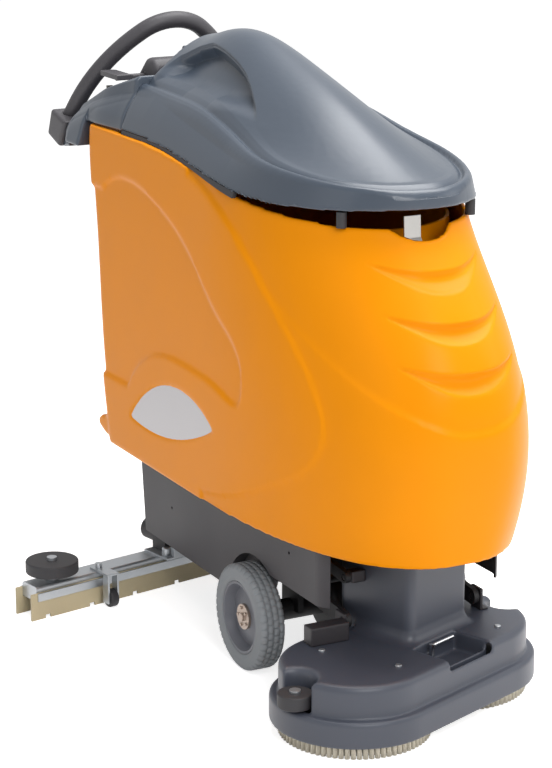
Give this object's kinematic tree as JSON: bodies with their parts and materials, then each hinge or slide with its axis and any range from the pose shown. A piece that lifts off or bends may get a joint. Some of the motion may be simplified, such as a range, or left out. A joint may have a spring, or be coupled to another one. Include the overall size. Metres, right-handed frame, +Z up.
{
  "type": "walk-behind floor scrubber",
  "caption": "Walk-behind floor scrubber: moulded tank on a wheeled chassis, domed lid, handle hoop, lifting brush deck in front and a swinging squeegee behind.",
  "frame": {"origin": "point of the floor under the middle of the drive axle", "axes": "+Z up, -Y the driving direction, -X the machine's right side"},
  "size_m": [0.7358, 1.3753, 1.127],
  "materials": {
    "tank_orange": "rotomoulded orange polyethylene, satin",
    "lid_grey": "moulded blue-grey plastic, soft gloss",
    "dark_plastic": "moulded dark grey plastic",
    "deck_grey": "moulded slate grey plastic",
    "chassis_grey": "powder-coated steel, fine texture",
    "zinc": "zinc-plated steel",
    "steel": "machined steel",
    "chrome": "bright chrome",
    "tyre_grey": "non-marking grey-green rubber",
    "rim_grey": "moulded mid grey rim",
    "hub_beige": "yellow-passivated hub",
    "black_rubber": "black rubber",
    "blade_beige": "tan gum rubber",
    "cast_black": "cast housing, black",
    "battery_case": "black battery case",
    "silver_plate": "bare brushed plate",
    "red_plastic": "red stop button",
    "lens_dark": "smoked display window",
    "bristle": "pale nylon bristle"
  },
  "bodies": {
    "body": {"chassis": "chassis_grey", "transaxle": "cast_black", "battery_right": "battery_case", "battery_left": "battery_case", "solution_tank": "tank_orange", "recovery_tub": "tank_orange", "badge_plate": "silver_plate", "lid_buffers": "black_rubber", "latch_strap": "steel", "lid_hinge": "zinc", "console": "lid_grey", "handle_beam": "dark_plastic", "handle_hoop": "dark_plastic", "instrument_pod": "dark_plastic", "display_lens": "lens_dark", "vacuum_motor": "cast_black", "inlet_port": "black_rubber"},
    "wheel_right": {"tyre_right": "tyre_grey", "rim_right": "rim_grey", "wheel_hub_right": "hub_beige"},
    "wheel_left": {"tyre_left": "tyre_grey", "rim_left": "rim_grey", "wheel_hub_left": "hub_beige"},
    "caster_swivel": {"caster_fork": "zinc"},
    "caster_wheel": {"caster_wheel": "black_rubber"},
    "lid": {"lid": "lid_grey", "lid_gasket": "black_rubber"},
    "button_right": {"button_right": "black_rubber"},
    "button_left": {"button_left": "black_rubber"},
    "stop_button": {"stop_button": "red_plastic"},
    "key_switch": {"key_switch": "steel"},
    "drive_paddle": {"drive_paddle": "dark_plastic"},
    "deck_arms": {"deck_arms": "cast_black"},
    "upper_link": {"upper_link": "cast_black"},
    "deck": {"deck_cover": "deck_grey", "deck_fasteners": "zinc", "deck_ears": "chassis_grey", "brush_motor": "cast_black", "drive_belt": "black_rubber"},
    "brush_right": {"brush_plate_right": "dark_plastic", "bristles_right": "bristle"},
    "brush_left": {"brush_plate_left": "dark_plastic", "bristles_left": "bristle"},
    "motor_pulley": {"motor_pulley": "steel"},
    "release_lever": {"release_lever": "chrome"},
    "deck_roller_right": {"deck_roller_right": "black_rubber"},
    "deck_roller_left": {"deck_roller_left": "black_rubber"},
    "lift_frame": {"lift_frame": "chassis_grey"},
    "squeegee": {"squeegee_body": "zinc", "blade_front": "blade_beige", "blade_rear": "blade_beige", "blade_clamps": "zinc", "squeegee_carriage": "zinc", "squeegee_fasteners": "zinc", "suction_elbow": "black_rubber", "support_brackets": "zinc"},
    "squeegee_roller_right": {"squeegee_roller_right": "black_rubber"},
    "squeegee_roller_left": {"squeegee_roller_left": "black_rubber"},
    "support_wheel_right": {"support_wheel_right": "black_rubber"},
    "support_wheel_left": {"support_wheel_left": "black_rubber"}
  },
  "joints": [
    {"name": "wheel_right_spin", "type": "hinge", "parent": "body", "child": "wheel_right", "pos_m": [-0.194, 0, 0.1], "axis": [1, 0, 0], "continuous": true},
    {"name": "wheel_left_spin", "type": "hinge", "parent": "body", "child": "wheel_left", "pos_m": [0.194, 0, 0.1], "axis": [1, 0, 0], "continuous": true},
    {"name": "caster_swivel", "type": "hinge", "parent": "body", "child": "caster_swivel", "pos_m": [0, 0.3, 0.134], "axis": [0, 0, 1], "continuous": true},
    {"name": "caster_roll", "type": "hinge", "parent": "caster_swivel", "child": "caster_wheel", "pos_m": [0, 0.335, 0.05], "axis": [1, 0, 0], "continuous": true},
    {"name": "lid_hinge", "type": "hinge", "parent": "body", "child": "lid", "pos_m": [0, 0.541, 1.072], "axis": [1, 0, 0], "range_deg": [-75, 0]},
    {"name": "button_right_press", "type": "slide", "parent": "body", "child": "button_right", "axis": [0, -0.669, -0.7433], "range_m": [0, 0.002], "stiffness_N_per_m": 400},
    {"name": "button_left_press", "type": "slide", "parent": "body", "child": "button_left", "axis": [0, -0.669, -0.7433], "range_m": [0, 0.002], "stiffness_N_per_m": 400},
    {"name": "stop_button_press", "type": "slide", "parent": "body", "child": "stop_button", "axis": [0, -0.4044, -0.9146], "range_m": [0, 0.005], "stiffness_N_per_m": 400},
    {"name": "key_turn", "type": "hinge", "parent": "body", "child": "key_switch", "pos_m": [-0.15, 0.7005, 0.969], "axis": [0, 0.4044, 0.9146], "range_deg": [0, 90]},
    {"name": "paddle_tilt", "type": "hinge", "parent": "body", "child": "drive_paddle", "pos_m": [0, 0.64, 1.012], "axis": [1, 0, 0], "range_deg": [-12, 12], "stiffness_Nm_per_rad": 1.5},
    {"name": "deck_lift", "type": "hinge", "parent": "body", "child": "deck_arms", "pos_m": [0, -0.055, 0.168], "axis": [1, 0, 0], "range_deg": [-8.74, 0]},
    {"name": "upper_link_swing", "type": "hinge", "parent": "body", "child": "upper_link", "pos_m": [0, -0.055, 0.248], "axis": [1, 0, 0], "range_deg": [-8.74, 0]},
    {"name": "deck_level", "type": "hinge", "parent": "deck_arms", "child": "deck", "pos_m": [0, -0.225, 0.155], "axis": [1, 0, 0], "range_deg": [0, 8.74]},
    {"name": "brush_right_spin", "type": "hinge", "parent": "deck", "child": "brush_right", "pos_m": [-0.16259, -0.34027, 0.06], "axis": [0, 0, 1], "continuous": true},
    {"name": "brush_left_spin", "type": "hinge", "parent": "deck", "child": "brush_left", "pos_m": [0.09659, -0.23973, 0.06], "axis": [0, 0, 1], "continuous": true},
    {"name": "motor_spin", "type": "hinge", "parent": "deck", "child": "motor_pulley", "pos_m": [0.00227, -0.22054, 0.08], "axis": [0, 0, 1], "continuous": true},
    {"name": "release_pull", "type": "hinge", "parent": "deck", "child": "release_lever", "pos_m": [-0.01016, -0.34335, 0.103], "axis": [-0.3616, 0.9323, 0], "range_deg": [-20, 0], "stiffness_Nm_per_rad": 0.3},
    {"name": "deck_roller_right_spin", "type": "hinge", "parent": "deck", "child": "deck_roller_right", "pos_m": [-0.2919, -0.36361, 0.088], "axis": [0, 0, 1], "continuous": true},
    {"name": "deck_roller_left_spin", "type": "hinge", "parent": "deck", "child": "deck_roller_left", "pos_m": [0.2259, -0.21639, 0.088], "axis": [0, 0, 1], "continuous": true},
    {"name": "squeegee_lift", "type": "hinge", "parent": "body", "child": "lift_frame", "pos_m": [0, 0.15, 0.14], "axis": [1, 0, 0], "range_deg": [0, 7.5]},
    {"name": "squeegee_swing", "type": "hinge", "parent": "lift_frame", "child": "squeegee", "pos_m": [0, -0.16, 0.108], "axis": [0, 0, 1], "range_deg": [-23, 0.6]},
    {"name": "squeegee_roller_right_spin", "type": "hinge", "parent": "squeegee", "child": "squeegee_roller_right", "pos_m": [-0.40657, 0.44149, 0.093], "axis": [0, 0, 1], "continuous": true},
    {"name": "squeegee_roller_left_spin", "type": "hinge", "parent": "squeegee", "child": "squeegee_roller_left", "pos_m": [0.14669, 0.55103, 0.093], "axis": [0, 0, 1], "continuous": true},
    {"name": "support_wheel_right_roll", "type": "hinge", "parent": "squeegee", "child": "support_wheel_right", "pos_m": [-0.29603, 0.40832, 0.018], "axis": [0.981, 0.1942, 0], "continuous": true},
    {"name": "support_wheel_left_roll", "type": "hinge", "parent": "squeegee", "child": "support_wheel_left", "pos_m": [0.05712, 0.47825, 0.018], "axis": [0.981, 0.1942, 0], "continuous": true}
  ],
  "couplings": [
    {"joint": "upper_link_swing", "follows": "deck_lift", "ratio": 1},
    {"joint": "deck_level", "follows": "deck_lift", "ratio": -1},
    {"joint": "brush_left_spin", "follows": "brush_right_spin", "ratio": 1},
    {"joint": "motor_spin", "follows": "brush_right_spin", "ratio": 1.8636}
  ]
}
